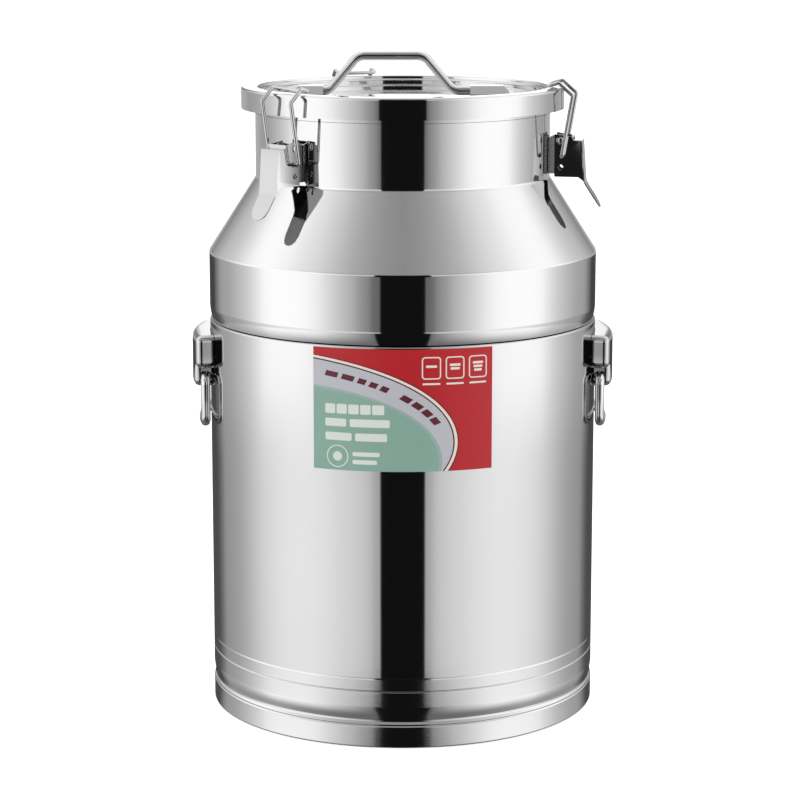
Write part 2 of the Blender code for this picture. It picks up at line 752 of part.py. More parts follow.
def main():
    clear_scene()
    make_barrel()
    make_shoulder()
    make_mouth_ring()
    make_base_plate()
    make_foot_ring()
    make_label()
    make_lid_pan()
    make_gasket()
    make_lid_bar()
    make_lug("lid_handle_lug_left", LUG_LEFT_X[1], LUG_LEFT_X[0])
    make_lug("lid_handle_lug_right", LUG_RIGHT_X[0], LUG_RIGHT_X[1])
    for word, side in (("left", -1), ("right", 1)):
        make_bracket(f"side_handle_{word}_bracket", side)
        make_side_bail(f"side_handle_{word}_bail", side)
    make_latches()


main()
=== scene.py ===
"""Looks of a stainless steel milk can with a clamped lid and two hanging side handles.

Metres, +Z up, the front of the can towards -Y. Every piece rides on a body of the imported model, and the
turned shells, bars and latches here are finer versions of the model's own solids, in the same places.
"""

import math

import bmesh
import bpy
from mathutils import Matrix, Vector


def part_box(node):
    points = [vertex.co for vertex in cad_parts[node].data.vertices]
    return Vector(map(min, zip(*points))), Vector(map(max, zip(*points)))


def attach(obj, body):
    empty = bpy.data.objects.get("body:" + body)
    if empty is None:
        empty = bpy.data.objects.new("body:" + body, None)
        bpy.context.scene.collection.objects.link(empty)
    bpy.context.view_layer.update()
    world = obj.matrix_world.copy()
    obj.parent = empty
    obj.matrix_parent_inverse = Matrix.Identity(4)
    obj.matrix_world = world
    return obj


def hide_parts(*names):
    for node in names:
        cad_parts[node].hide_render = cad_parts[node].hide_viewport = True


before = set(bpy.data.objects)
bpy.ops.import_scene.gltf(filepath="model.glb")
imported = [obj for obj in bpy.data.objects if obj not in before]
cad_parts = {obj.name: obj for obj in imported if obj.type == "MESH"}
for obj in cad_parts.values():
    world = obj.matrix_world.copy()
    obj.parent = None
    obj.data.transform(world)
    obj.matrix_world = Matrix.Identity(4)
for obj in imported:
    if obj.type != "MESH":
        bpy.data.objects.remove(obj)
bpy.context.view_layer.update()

# ---- Sizes read from the frame ------------------------------------------------------------------------

BODY_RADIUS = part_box("foot_ring")[1].x
FOOT_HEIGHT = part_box("foot_ring")[1].z
SEAM_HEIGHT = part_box("shoulder_shell")[0].z
NECK_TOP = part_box("shoulder_shell")[1].z
BASE_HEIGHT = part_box("base_plate")[1].z
MOUTH_FLANGE_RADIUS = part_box("mouth_ring")[1].x
MOUTH_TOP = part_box("mouth_ring")[1].z
LID_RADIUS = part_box("lid_pan")[1].x
LID_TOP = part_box("lid_pan")[1].z
LID_SKIRT_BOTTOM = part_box("lid_pan")[0].z
LID_BAR_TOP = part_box("lid_handle_bar")[1].z
LABEL_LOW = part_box("label")[0].z
LABEL_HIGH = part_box("label")[1].z
LUG_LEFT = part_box("lid_handle_lug_left")
LUG_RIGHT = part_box("lid_handle_lug_right")
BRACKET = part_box("side_handle_right_bracket")

# ---- Sizes of the details -----------------------------------------------------------------------------

GAP = 0.0003
SHELL_SHEET = 0.0008
FOOT_SHEET = 0.0012
BAND_TOP = 0.4163
NECK_BOTTOM = 0.4827
NECK_RADIUS = 0.1324
FOOT_SCORE_HEIGHT = 0.0508
FOOT_GROOVE_LOW = 0.0200
FOOT_GROOVE_HIGH = 0.0310
LID_STEP_RADIUS = 0.1300
LID_STEP_HEIGHT = 0.5596
LID_FLOOR_RADIUS = 0.1262
LID_FLOOR = 0.5540
LID_BAR_RADIUS = 0.0040
LID_BAR_CENTRE_X = -0.0104
LID_BAR_HALF_TOP = 0.0294
LID_BAR_HALF_FOOT = 0.0561
LID_BAR_BEND = 0.0130
LID_BAR_TIGHT_BEND = 0.0090
LUG_RAMP = 0.0075
LUG_END_WALL = 0.0085
LABEL_HALF_ANGLE = 25.9
LABEL_SHEET = 0.0003
PRINT_SHEET = 0.00003
PRINT_COLUMN = 0.0035
BRACKET_HALF_WIDTH = 0.0530
BRACKET_MIDDLE_HALF_WIDTH = 0.0400
BRACKET_END_LOW = 0.3134
BRACKET_SHEET = 0.0020
BRACKET_CORNER = 0.0065
BRACKET_ROUNDING = 0.0055
SIDE_BAIL_RADIUS = 0.00425
SIDE_BAIL_PIVOT = (0.1770, 0.3050)
SIDE_BAIL_HALF_WIDTH = 0.0470
SIDE_BAIL_PIN_END = 0.0365
SIDE_BAIL_LOW = 0.2643
SIDE_BAIL_BEND = 0.0065
SIDE_BAIL_BOW = 0.0046
LATCH_ANGLES = {"latch_1": -44.5, "latch_2": 81.0, "latch_3": -161.0}
LEVER_PIVOT = (0.1430, 0.5168)
WIRE_ANCHOR = (0.1454, 0.5030)
LOCK_HOLE = (0.1437, 0.4930)
LEVER_HALF_WIDTH = 0.0110
LEVER_SHEET = 0.0010
PIN_RADIUS = 0.0019
WIRE_RADIUS = 0.0018
WIRE_HALF_WIDTH = 0.0180
WIRE_BEND = 0.0024
BASE_HALF_WIDTH = 0.0087
BASE_SHEET = 0.0012
BASE_EAR_TOP = 0.5190
BASE_EAR_LOW = 0.4870
EAR_ROUND = 0.0050
ROUND_SEGMENTS = 192
HOLD = 0.0004
CURL_HEIGHT = 0.0140
CURL_DEPTH = 0.0020
CURL_CREASE = 2.6
CREASE_HOLD = 0.00005
BARREL_LAP_DROP = 0.0034
FOOT_GROOVE_DEPTH = 0.0017
FOOT_SCORE_DEPTH = 0.0008
FOOT_TURN_IN = 0.0065
SHARP_ANGLE = 35.0
BEVEL_ANGLE = 32.0


# ---- Lines and meshes ---------------------------------------------------------------------------------


def arc(centre, radius, start, end, steps):
    """Points on an arc, both ends included; the angles are in degrees from the first axis."""
    points = []
    for index in range(steps + 1):
        angle = math.radians(start + (end - start) * index / steps)
        points.append((centre[0] + radius * math.cos(angle), centre[1] + radius * math.sin(angle)))
    return points


def bend_points(before, here, after, bend, steps):
    """Points of the arc that rounds one corner of a path, in two or three dimensions."""
    back = (before - here).normalized()
    ahead = (after - here).normalized()
    half = back.angle(ahead) / 2.0
    centre = here + (back + ahead).normalized() * bend / math.sin(half)
    start = (here + back * bend / math.tan(half) - centre).normalized()
    end = (here + ahead * bend / math.tan(half) - centre).normalized()
    return [centre + start.slerp(end, index / steps) * bend for index in range(steps + 1)]


def rounded_path(corners, bends, steps):
    """The points of a path through the corners, with one bend radius for each inner corner."""
    points = [Vector(corners[0])]
    for before, here, after, bend in zip(corners, corners[1:], corners[2:], bends):
        if bend:
            points += bend_points(Vector(before), Vector(here), Vector(after), bend, steps)
        else:
            points.append(Vector(here))
    points.append(Vector(corners[-1]))
    return points


def soft_line(corners, steps=6):
    """A line through (radius, height, bend) corners, with extra points that hold its straight runs flat."""
    places = [(radius, 0.0, height) for radius, height, _ in corners]
    bends = [bend for _, _, bend in corners[1:-1]]
    rough = [Vector((point.x, point.z)) for point in rounded_path(places, bends, steps)]
    line = [rough[0]]
    for before, after in zip(rough, rough[1:]):
        length = (after - before).length
        if length > 4.0 * HOLD:
            step = (after - before) * HOLD / length
            line += [before + step, after - step]
        line.append(after)
    return [tuple(point) for point in line]


def offset_line(points, distance):
    """The open line, moved sideways by distance to its left, with its corners kept sharp."""
    moved = []
    last = len(points) - 1
    for index, point in enumerate(points):
        here = Vector(point)
        runs = []
        if index:
            runs.append((here - Vector(points[index - 1])).normalized())
        if index < last:
            runs.append((Vector(points[index + 1]) - here).normalized())
        normals = [Vector((-run.y, run.x)) for run in runs]
        middle = sum(normals, Vector((0.0, 0.0))).normalized()
        moved.append(tuple(here + middle * distance / middle.dot(normals[0])))
    return moved


def sheet_profile(corners, thickness):
    """A closed outline for sheet metal to the left of a line of (radius, height, bend) corners."""
    inner = offset_line([corner[:2] for corner in corners], thickness)
    return soft_line(corners) + list(reversed(inner))


def mesh_from(name, builder):
    """The mesh of a bmesh, shaded smooth except along its sharp edges."""
    bmesh.ops.recalc_face_normals(builder, faces=builder.faces)
    mesh = bpy.data.meshes.new(name)
    builder.to_mesh(mesh)
    builder.free()
    mesh.shade_smooth()
    mesh.set_sharp_from_angle(angle=math.radians(SHARP_ANGLE))
    return mesh


def link(name, data, material):
    """A new object in the scene, with its finish if it has one."""
    item = bpy.data.objects.new(name, data)
    bpy.context.scene.collection.objects.link(item)
    if material:
        item.data.materials.append(material)
    return item


def skin(builder, rings):
    """Faces between rings of vertices that follow each other, and one face over each end."""
    for ring, following in zip(rings, rings[1:]):
        for index in range(len(ring)):
            after = (index + 1) % len(ring)
            builder.faces.new((ring[index], ring[after], following[after], following[index]))
    builder.faces.new(rings[0])
    builder.faces.new(rings[-1])


def turned(name, profile, material):
    """A closed profile turned about Z. Points on the axis become single vertices."""
    builder = bmesh.new()
    rings = []
    for radius, height in profile:
        if radius < 1e-6:
            rings.append([builder.verts.new((0.0, 0.0, height))])
            continue
        ring = []
        for index in range(ROUND_SEGMENTS):
            angle = math.tau * index / ROUND_SEGMENTS
            ring.append(builder.verts.new((radius * math.cos(angle), radius * math.sin(angle), height)))
        rings.append(ring)
    for index, ring in enumerate(rings):
        following = rings[(index + 1) % len(rings)]
        if len(ring) == 1 and len(following) == 1:
            continue
        for side in range(ROUND_SEGMENTS):
            corners = [
                ring[side % len(ring)],
                ring[(side + 1) % len(ring)],
                following[(side + 1) % len(following)],
                following[side % len(following)],
            ]
            builder.faces.new(list(dict.fromkeys(corners)))
    return link(name, mesh_from(name, builder), material)


def prism(outline, low, high):
    """A bmesh: an outline in the XZ plane, carried along Y from low to high."""
    builder = bmesh.new()
    near = [builder.verts.new((x, low, z)) for x, z in outline]
    far = [builder.verts.new((x, high, z)) for x, z in outline]
    skin(builder, (near, far))
    return builder


def bar(name, points, radius, material):
    """A round bar along the points, with closed ends."""
    curve = bpy.data.curves.new(name, "CURVE")
    curve.dimensions = "3D"
    curve.bevel_depth = radius
    curve.bevel_resolution = 6
    curve.use_fill_caps = True
    spline = curve.splines.new("POLY")
    spline.points.add(len(points) - 1)
    for place, point in zip(spline.points, points):
        place.co = (*point, 1.0)
    return link(name, curve, material)


def cylinder_along_y(builder, x, z, radius, low, high, sides):
    placing = Matrix.Translation((x, (low + high) / 2.0, z)) @ Matrix.Rotation(math.pi / 2.0, 4, "X")
    bmesh.ops.create_cone(
        builder,
        cap_ends=True,
        segments=sides,
        radius1=radius,
        radius2=radius,
        depth=high - low,
        matrix=placing,
    )


def combine(name, builder, steps):
    """The mesh of a bmesh after Boolean steps, each an operation and a second bmesh."""
    for shape in (builder, *(other for _, other in steps)):
        bmesh.ops.triangulate(shape, faces=shape.faces)
    base = link(name + "_raw", mesh_from(name + "_raw", builder), None)
    tools = []
    for index, (operation, other) in enumerate(steps):
        label = f"{name}_tool_{index}"
        tool = link(label, mesh_from(label, other), None)
        modifier = base.modifiers.new(label, "BOOLEAN")
        modifier.operation = operation
        modifier.solver = "EXACT"
        modifier.object = tool
        tools.append(tool)
    bpy.context.view_layer.update()
    graph = bpy.context.evaluated_depsgraph_get()
    raw = bpy.data.meshes.new_from_object(base.evaluated_get(graph))
    for item in (base, *tools):
        bpy.data.objects.remove(item, do_unlink=True)
    clean = bmesh.new()
    clean.from_mesh(raw)
    bmesh.ops.dissolve_limit(clean, angle_limit=math.radians(1.0), verts=clean.verts, edges=clean.edges)
    mesh = mesh_from(name, clean)
    mesh.materials.clear()
    return mesh


def soften(item, width, segments=3):
    """Rounds the sharp edges of a piece, and keeps its flat faces flat."""
    bevel = item.modifiers.new("rounded_edges", "BEVEL")
    bevel.width = width
    bevel.segments = segments
    bevel.limit_method = "ANGLE"
    bevel.angle_limit = math.radians(BEVEL_ANGLE)
    bevel.harden_normals = True
    return item


def place(item, body, slot, *nodes):
    """The piece rides on a body and stands for CAD nodes. The slot is not used."""
    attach(item, body)
    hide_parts(*nodes)
    return item


# ---- Materials ----------------------------------------------------------------------------------------

LATHE_GRAIN = (6.0, 6.0, 700.0)
INK_FADE = 0.05


def add(tree, kind, inputs=None, **settings):
    """A new node. Inputs are values or sockets, by name or by number."""
    item = tree.nodes.new(kind)
    for name, value in settings.items():
        setattr(item, name, value)
    for name, value in (inputs or {}).items():
        if isinstance(value, bpy.types.NodeSocket):
            tree.links.new(value, item.inputs[name])
        else:
            item.inputs[name].default_value = value
    return item


def calculate(tree, operation, *values):
    return add(tree, "ShaderNodeMath", dict(enumerate(values)), operation=operation).outputs[0]


def spread(tree, value, low, high):
    """A value from 0 to 1, turned into one from low to high."""
    return add(tree, "ShaderNodeMapRange", {"Value": value, "To Min": low, "To Max": high}).outputs[0]


def noise(tree, scale, stretch=(1.0, 1.0, 1.0), detail=3.0):
    where = add(tree, "ShaderNodeTexCoord").outputs["Object"]
    mapped = add(tree, "ShaderNodeMapping", {"Vector": where, "Scale": stretch}).outputs[0]
    return add(tree, "ShaderNodeTexNoise", {"Vector": mapped, "Scale": scale, "Detail": detail}).outputs[0]


def new_material(name):
    material = bpy.data.materials.new(name)
    material.use_nodes = True
    return material, material.node_tree, material.node_tree.nodes["Principled BSDF"]


def bumped(tree, layers):
    """Normals from layers of (height from 0 to 1, depth in metres)."""
    normal = None
    for height, depth in layers:
        inputs = {"Height": height, "Distance": depth, "Strength": 1.0}
        if normal:
            inputs["Normal"] = normal
        normal = add(tree, "ShaderNodeBump", inputs).outputs[0]
    return normal


def mottled(tree, shader, patches, dark, light):
    """Base colour that wanders from a darker to a lighter one with the patches."""
    shade = add(tree, "ShaderNodeMix", {"Factor": patches}, data_type="RGBA")
    shade.inputs["A"].default_value = (*dark, 1.0)
    shade.inputs["B"].default_value = (*light, 1.0)
    tree.links.new(shade.outputs["Result"], shader.inputs["Base Color"])


def turning_rings(tree):
    """Height of faint rings round Z, as a spinning press tool leaves them on a lid."""
    where = add(tree, "ShaderNodeTexCoord").outputs["Object"]
    flat = add(tree, "ShaderNodeVectorMath", {0: where, 1: (1.0, 1.0, 0.0)}, operation="MULTIPLY").outputs[0]
    reach = add(tree, "ShaderNodeVectorMath", {0: flat}, operation="LENGTH").outputs["Value"]
    inputs = {"W": reach, "Scale": 160.0, "Detail": 1.0}
    return add(tree, "ShaderNodeTexNoise", inputs, noise_dimensions="1D").outputs[0]


def steel(name, tone=0.62, roughness=0.05, grain=0.000002, stretch=LATHE_GRAIN, wave=0.00004, rings=0.0):
    """Polished stainless steel: near-mirror, with faint polishing lines, smears and a slow waviness."""
    material, tree, shader = new_material(name)
    smear = noise(tree, 16.0, (1.0, 1.0, 0.5))
    lines = noise(tree, 4.0, stretch, 2.0)
    dark = (tone * 0.97, tone * 0.97, tone * 0.975)
    light = (tone * 1.03, tone * 1.03, tone * 1.035)
    mottled(tree, shader, smear, dark, light)
    gloss = calculate(tree, "MULTIPLY", smear, lines)
    tree.links.new(spread(tree, gloss, roughness * 0.75, roughness * 1.75), shader.inputs["Roughness"])
    slow = noise(tree, 5.0, (1.0, 1.0, 1.6), 0.0)
    layers = [(slow, wave), (lines, grain)]
    if rings:
        layers.append((turning_rings(tree), rings))
    tree.links.new(bumped(tree, layers), shader.inputs["Normal"])
    shader.inputs["Metallic"].default_value = 1.0
    return material


def silicone(name):
    """Milky silicone rubber with a soft sheen and a faint moulded grain."""
    material, tree, shader = new_material(name)
    mottle = noise(tree, 120.0)
    mottled(tree, shader, mottle, (0.70, 0.69, 0.65), (0.78, 0.77, 0.73))
    tree.links.new(spread(tree, mottle, 0.40, 0.55), shader.inputs["Roughness"])
    tree.links.new(bumped(tree, [(mottle, 0.00002)]), shader.inputs["Normal"])
    shader.inputs["Subsurface Weight"].default_value = 0.15
    shader.inputs["Subsurface Scale"].default_value = 0.002
    return material


def ink(name, colour):
    """Glossy printed film: one ink, a little uneven, with a faint orange peel."""
    material, tree, shader = new_material(name)
    patch = noise(tree, 30.0)
    faded = tuple(value * (1.0 - INK_FADE) for value in colour)
    full = tuple(value * (1.0 + INK_FADE) for value in colour)
    mottled(tree, shader, patch, faded, full)
    tree.links.new(spread(tree, patch, 0.28, 0.36), shader.inputs["Roughness"])
    shader.inputs["Specular IOR Level"].default_value = 0.35
    peel = noise(tree, 900.0, detail=1.0)
    tree.links.new(bumped(tree, [(peel, 0.000004)]), shader.inputs["Normal"])
    return material


# ---- Turned shells ------------------------------------------------------------------------------------


def make_barrel():
    """Straight barrel. Its ends are swaged in, to sit inside the foot ring and the upper shell."""
    low = BODY_RADIUS - FOOT_SHEET - GAP - 0.0001
    high = BODY_RADIUS - BARREL_LAP_DROP
    corners = [
        (low, FOOT_HEIGHT - 0.0090, 0.0),
        (low, FOOT_HEIGHT + 0.0001, 0.00005),
        (BODY_RADIUS, FOOT_HEIGHT + 0.0001, 0.00005),
        (BODY_RADIUS, SEAM_HEIGHT - 0.0016, 0.0011),
        (high, SEAM_HEIGHT - 0.0002, 0.0008),
        (high, SEAM_HEIGHT + 0.0085, 0.0),
    ]
    shell = turned("barrel", sheet_profile(corners, SHELL_SHEET), steel("barrel_steel", tone=0.60))
    place(shell, "can", "barrel_steel", "barrel_shell")


def make_shoulder():
    """Upper shell: a short band that curls in at the seam, the cone and the neck, drawn in one piece."""
    curl_radius = (CURL_HEIGHT**2 + CURL_DEPTH**2) / (2.0 * CURL_DEPTH)
    centre = (BODY_RADIUS - curl_radius, SEAM_HEIGHT + CURL_HEIGHT)
    sweep = math.degrees(math.asin(CURL_HEIGHT / curl_radius))
    curl = arc(centre, curl_radius, -sweep, -CURL_CREASE, 20)
    radius, height = curl.pop()
    lean = CREASE_HOLD * math.tan(math.radians(CURL_CREASE))
    curl += [(radius - lean, height - CREASE_HOLD), (radius, height), (radius, height + CREASE_HOLD)]
    corners = [
        (radius, height + CREASE_HOLD, 0.0),
        (BODY_RADIUS, BAND_TOP, 0.0045),
        (NECK_RADIUS, NECK_BOTTOM, 0.0060),
        (NECK_RADIUS, NECK_TOP, 0.0),
    ]
    outer = curl[:-1] + soft_line(corners)
    simple = [curl[0], curl[-1]] + [corner[:2] for corner in corners[1:]]
    profile = outer + list(reversed(offset_line(simple, SHELL_SHEET)))
    place(turned("shoulder", profile, steel("shoulder_steel")), "can", "shoulder_steel", "shoulder_shell")


def make_mouth_ring():
    """Flanged ring on top of the neck, with its lip turned down."""
    lip_low = MOUTH_TOP - 0.0055
    under = MOUTH_TOP - 0.0012
    corners = [
        (NECK_RADIUS, NECK_TOP + GAP, 0.0),
        (NECK_RADIUS, under, 0.0014),
        (MOUTH_FLANGE_RADIUS - 0.0012, under, 0.0008),
        (MOUTH_FLANGE_RADIUS - 0.0012, lip_low, 0.0),
        (MOUTH_FLANGE_RADIUS, lip_low, 0.0002),
        (MOUTH_FLANGE_RADIUS, MOUTH_TOP, 0.0020),
        (NECK_RADIUS - SHELL_SHEET, MOUTH_TOP, 0.0015),
        (NECK_RADIUS - SHELL_SHEET, NECK_TOP + GAP, 0.0),
    ]
    ring = turned("mouth", soft_line(corners), steel("mouth_steel"))
    place(ring, "can", "mouth_steel", "mouth_ring")


def make_base_plate():
    """Dished bottom of the can, with its edge turned down inside the barrel."""
    edge = BODY_RADIUS - FOOT_SHEET - 2.0 * GAP - SHELL_SHEET - 0.0002
    middle = BASE_HEIGHT - 0.0030
    corners = [
        (edge, BASE_HEIGHT - 0.0150, 0.0),
        (edge, BASE_HEIGHT, 0.0040),
        (edge - 0.0100, BASE_HEIGHT, 0.0200),
        (0.0, middle, 0.0),
    ]
    under = offset_line([corner[:2] for corner in corners], SHELL_SHEET)
    profile = soft_line(corners) + [(0.0, middle - SHELL_SHEET)] + list(reversed(under[:-1]))
    place(turned("bottom", profile, steel("base_steel", roughness=0.16)), "can", "base_steel", "base_plate")


def make_foot_ring():
    """Hoop the can stands on: bevelled top edge, a scored line, a pressed groove, and a turned-in foot."""
    radius = BODY_RADIUS
    inner = radius - FOOT_TURN_IN
    groove = FOOT_GROOVE_DEPTH
    corners = [
        (inner, 0.0, 0.0),
        (radius, 0.0, 0.0014),
        (radius, FOOT_GROOVE_LOW - 0.0012, 0.0006),
        (radius - 0.0007, FOOT_GROOVE_LOW, 0.0004),
        (radius - 0.0004, FOOT_GROOVE_LOW + 0.0012, 0.0004),
        (radius - groove, FOOT_GROOVE_LOW + 0.0034, 0.0012),
        (radius - groove, FOOT_GROOVE_LOW + 0.0050, 0.0012),
        (radius, FOOT_GROOVE_HIGH + 0.0018, 0.0360),
        (radius, FOOT_SCORE_HEIGHT - 0.0007, 0.0006),
        (radius - FOOT_SCORE_DEPTH, FOOT_SCORE_HEIGHT - 0.0001, 0.0002),
        (radius - FOOT_SCORE_DEPTH, FOOT_SCORE_HEIGHT + 0.0002, 0.0001),
        (radius, FOOT_SCORE_HEIGHT + 0.0008, 0.0003),
        (radius, FOOT_HEIGHT - 0.0013, 0.0001),
        (radius - 0.0003, FOOT_HEIGHT, 0.0001),
        (radius - FOOT_SHEET, FOOT_HEIGHT, 0.0),
    ]
    outer = soft_line(corners, 5)
    hidden = [(radius - FOOT_SHEET - 0.0010, FOOT_HEIGHT - 0.0030), (radius - 0.0032, FOOT_SHEET)]
    profile = outer + [(radius - FOOT_SHEET, FOOT_HEIGHT - 0.0020)] + hidden + [(inner, FOOT_SHEET)]
    finish = steel("foot_steel", tone=0.61, roughness=0.09, grain=0.000008)
    place(turned("foot", profile, finish), "can", "foot_steel", "foot_ring")


def make_lid_pan():
    """Pressed lid: a deep skirt, a flat rim, and a stepped floor below the rim."""
    corners = [
        (LID_RADIUS, LID_SKIRT_BOTTOM, 0.0),
        (LID_RADIUS, LID_TOP, 0.0020),
        (LID_STEP_RADIUS, LID_TOP, 0.0012),
        (LID_STEP_RADIUS, LID_STEP_HEIGHT, 0.0008),
        (LID_FLOOR_RADIUS, LID_STEP_HEIGHT, 0.0010),
        (LID_FLOOR_RADIUS, LID_FLOOR, 0.0010),
        (0.0, LID_FLOOR, 0.0),
    ]
    pan = turned("lid", sheet_profile(corners, SHELL_SHEET), steel("lid_steel", rings=0.00002))
    place(pan, "lid", "lid_steel", "lid_pan")


def make_gasket():
    """Silicone ring under the lid's rim, just above the mouth ring."""
    inner = LID_STEP_RADIUS + SHELL_SHEET + 0.0007
    outer = MOUTH_FLANGE_RADIUS - 0.0003
    low = MOUTH_TOP + GAP
    top = LID_TOP - SHELL_SHEET - GAP
    corners = [
        ((inner + outer) / 2.0, low, 0.0),
        (outer, low, 0.0012),
        (outer, top, 0.0012),
        (inner, top, 0.0012),
        (inner, low, 0.0012),
        ((inner + outer) / 2.0 - 0.0001, low, 0.0),
    ]
    place(turned("gasket", soft_line(corners), silicone("silicone")), "lid", "silicone", "lid_gasket")


# ---- Lid handle ---------------------------------------------------------------------------------------

LID_BAR_FOOT = LID_FLOOR + GAP + LID_BAR_RADIUS + 0.0001


def make_lid_bar():
    """Bent round bar. Its feet run out along the lid's floor into the two lugs."""
    top = LID_BAR_TOP - LID_BAR_RADIUS
    corners = [
        (LUG_LEFT[0].x + LUG_END_WALL + GAP, 0.0, LID_BAR_FOOT),
        (LID_BAR_CENTRE_X - LID_BAR_HALF_FOOT, 0.0, LID_BAR_FOOT),
        (LID_BAR_CENTRE_X - LID_BAR_HALF_TOP, 0.0, top),
        (LID_BAR_CENTRE_X + LID_BAR_HALF_TOP, 0.0, top),
        (LID_BAR_CENTRE_X + LID_BAR_HALF_FOOT, 0.0, LID_BAR_FOOT),
        (LUG_RIGHT[1].x - LUG_END_WALL - GAP, 0.0, LID_BAR_FOOT),
    ]
    path = rounded_path(corners, (LID_BAR_TIGHT_BEND, LID_BAR_BEND, LID_BAR_BEND, LID_BAR_BEND), 14)
    piece = bar("lid_bar", path, LID_BAR_RADIUS, steel("bar_steel", stretch=(500.0, 8.0, 8.0)))
    place(piece, "lid", "bar_steel", "lid_handle_bar")


def make_lug(word, inner_x, outer_x, box, finish):
    """Saddle over one end of the lid's bar, open at its inner end and below, ramped at its outer end."""
    low = box[0].z
    high = box[1].z
    half = box[1].y
    outward = math.copysign(1.0, outer_x - inner_x)
    builder = bmesh.new()
    shoulder = arc((half * 0.60, low), half * 0.40, 0.0, 40.0, 4)
    crown = [(half * 0.62, high - 0.0004), (half * 0.54, high)]
    right = [(y, max(z, low)) for y, z in shoulder] + crown
    section = right + [(-y, z) for y, z in reversed(right)]
    rows = []
    for at_outer_end in (False, True):
        row = []
        for y, z in section:
            back = LUG_RAMP * ((z - low) / (high - low)) ** 1.4
            x = outer_x - outward * back if at_outer_end else inner_x
            row.append(builder.verts.new((x, y, z)))
        rows.append(row)
    skin(builder, rows)
    bore = LID_BAR_RADIUS + GAP
    outline = arc((0.0, LID_BAR_FOOT), bore, 0.0, 180.0, 20)
    outline += [(-bore, low - 0.0010), (bore, low - 0.0010)]
    ends = sorted((inner_x - outward * 0.0010, outer_x - outward * LUG_END_WALL))
    channel = bmesh.new()
    near = [channel.verts.new((ends[0], y, z)) for y, z in outline]
    far = [channel.verts.new((ends[1], y, z)) for y, z in outline]
    skin(channel, (near, far))
    name = f"lid_lug_{word}"
    mesh = combine(name, builder, [("DIFFERENCE", channel)])
    lug = soften(link(name, mesh, finish), 0.0006)
    place(lug, "lid", "lug_steel", f"lid_handle_lug_{word}")


def make_lugs():
    # The lugs' steel is toned up to 0.92, a painted highlight that lightens them.
    finish = steel("lug_steel", tone=0.92, roughness=0.12, stretch=(8.0, 500.0, 8.0))
    make_lug("left", LUG_LEFT[1].x, LUG_LEFT[0].x, LUG_LEFT, finish)
    make_lug("right", LUG_RIGHT[0].x, LUG_RIGHT[1].x, LUG_RIGHT, finish)


# ---- Side handles -------------------------------------------------------------------------------------


def bracket_outline(inset=0.0):
    """Outline of the pressed bracket: (distance along the barrel, height)."""
    half = BRACKET_HALF_WIDTH - inset
    middle = BRACKET_MIDDLE_HALF_WIDTH - inset
    corner = BRACKET_CORNER - inset
    top = BRACKET[1].z - inset
    end_low = BRACKET_END_LOW + inset
    low = BRACKET[0].z + inset
    right = arc((half - corner, top - corner), corner, 90.0, 0.0, 6)
    right += arc((half - corner, end_low + corner), corner, 0.0, -90.0, 6)
    right += [(middle, end_low)]
    right += arc((middle - corner, low + corner), corner, 0.0, -90.0, 6)
    return right + [(-across, height) for across, height in reversed(right)]


def in_fixed_order(builder):
    """The same bmesh with its faces in a fixed order, as cutting and extruding leave them in any order."""
    builder.verts.index_update()
    loops = []
    for face in builder.faces:
        loop = [vert.index for vert in face.verts]
        start = loop.index(min(loop))
        loops.append(loop[start:] + loop[:start])
    ordered = bmesh.new()
    verts = [ordered.verts.new(vert.co) for vert in builder.verts]
    for loop in sorted(loops):
        ordered.faces.new([verts[index] for index in loop])
    builder.free()
    return ordered


def curved_block(outline, low_radius, high_radius, bend_columns, rounding=0.0):
    """A bmesh: an outline wrapped round +X and carried from one radius out to another.

    With a rounding, the edge all round its outer face is bevelled by that width.
    """
    builder = bmesh.new()
    flat = [builder.verts.new((across, 0.0, height)) for across, height in outline]
    builder.faces.new(flat)
    first = min(across for across, _ in outline)
    last = max(across for across, _ in outline)
    for index in range(1, bend_columns):
        across = first + (last - first) * index / bend_columns
        geometry = builder.verts[:] + builder.edges[:] + builder.faces[:]
        bmesh.ops.bisect_plane(
            builder, geom=geometry, dist=1e-6, plane_co=(across, 0.0, 0.0), plane_no=(1.0, 0.0, 0.0)
        )
    grown = bmesh.ops.extrude_face_region(builder, geom=builder.faces[:])
    outer = {item for item in grown["geom"] if isinstance(item, bmesh.types.BMVert)}
    for vert in builder.verts:
        radius = high_radius if vert in outer else low_radius
        angle = vert.co.x / high_radius
        height = vert.co.z
        vert.co = (radius * math.cos(angle), radius * math.sin(angle), height)
    if rounding:
        bmesh.ops.recalc_face_normals(builder, faces=builder.faces)
        rim = []
        for edge in builder.edges:
            on_top = all(vert in outer for vert in edge.verts)
            if on_top and edge.calc_face_angle(0.0) > math.radians(60.0):
                rim.append(edge)
        bmesh.ops.bevel(
            builder, geom=rim, offset=rounding, segments=7, profile=0.5, affect="EDGES", clamp_overlap=False
        )
    return in_fixed_order(builder)


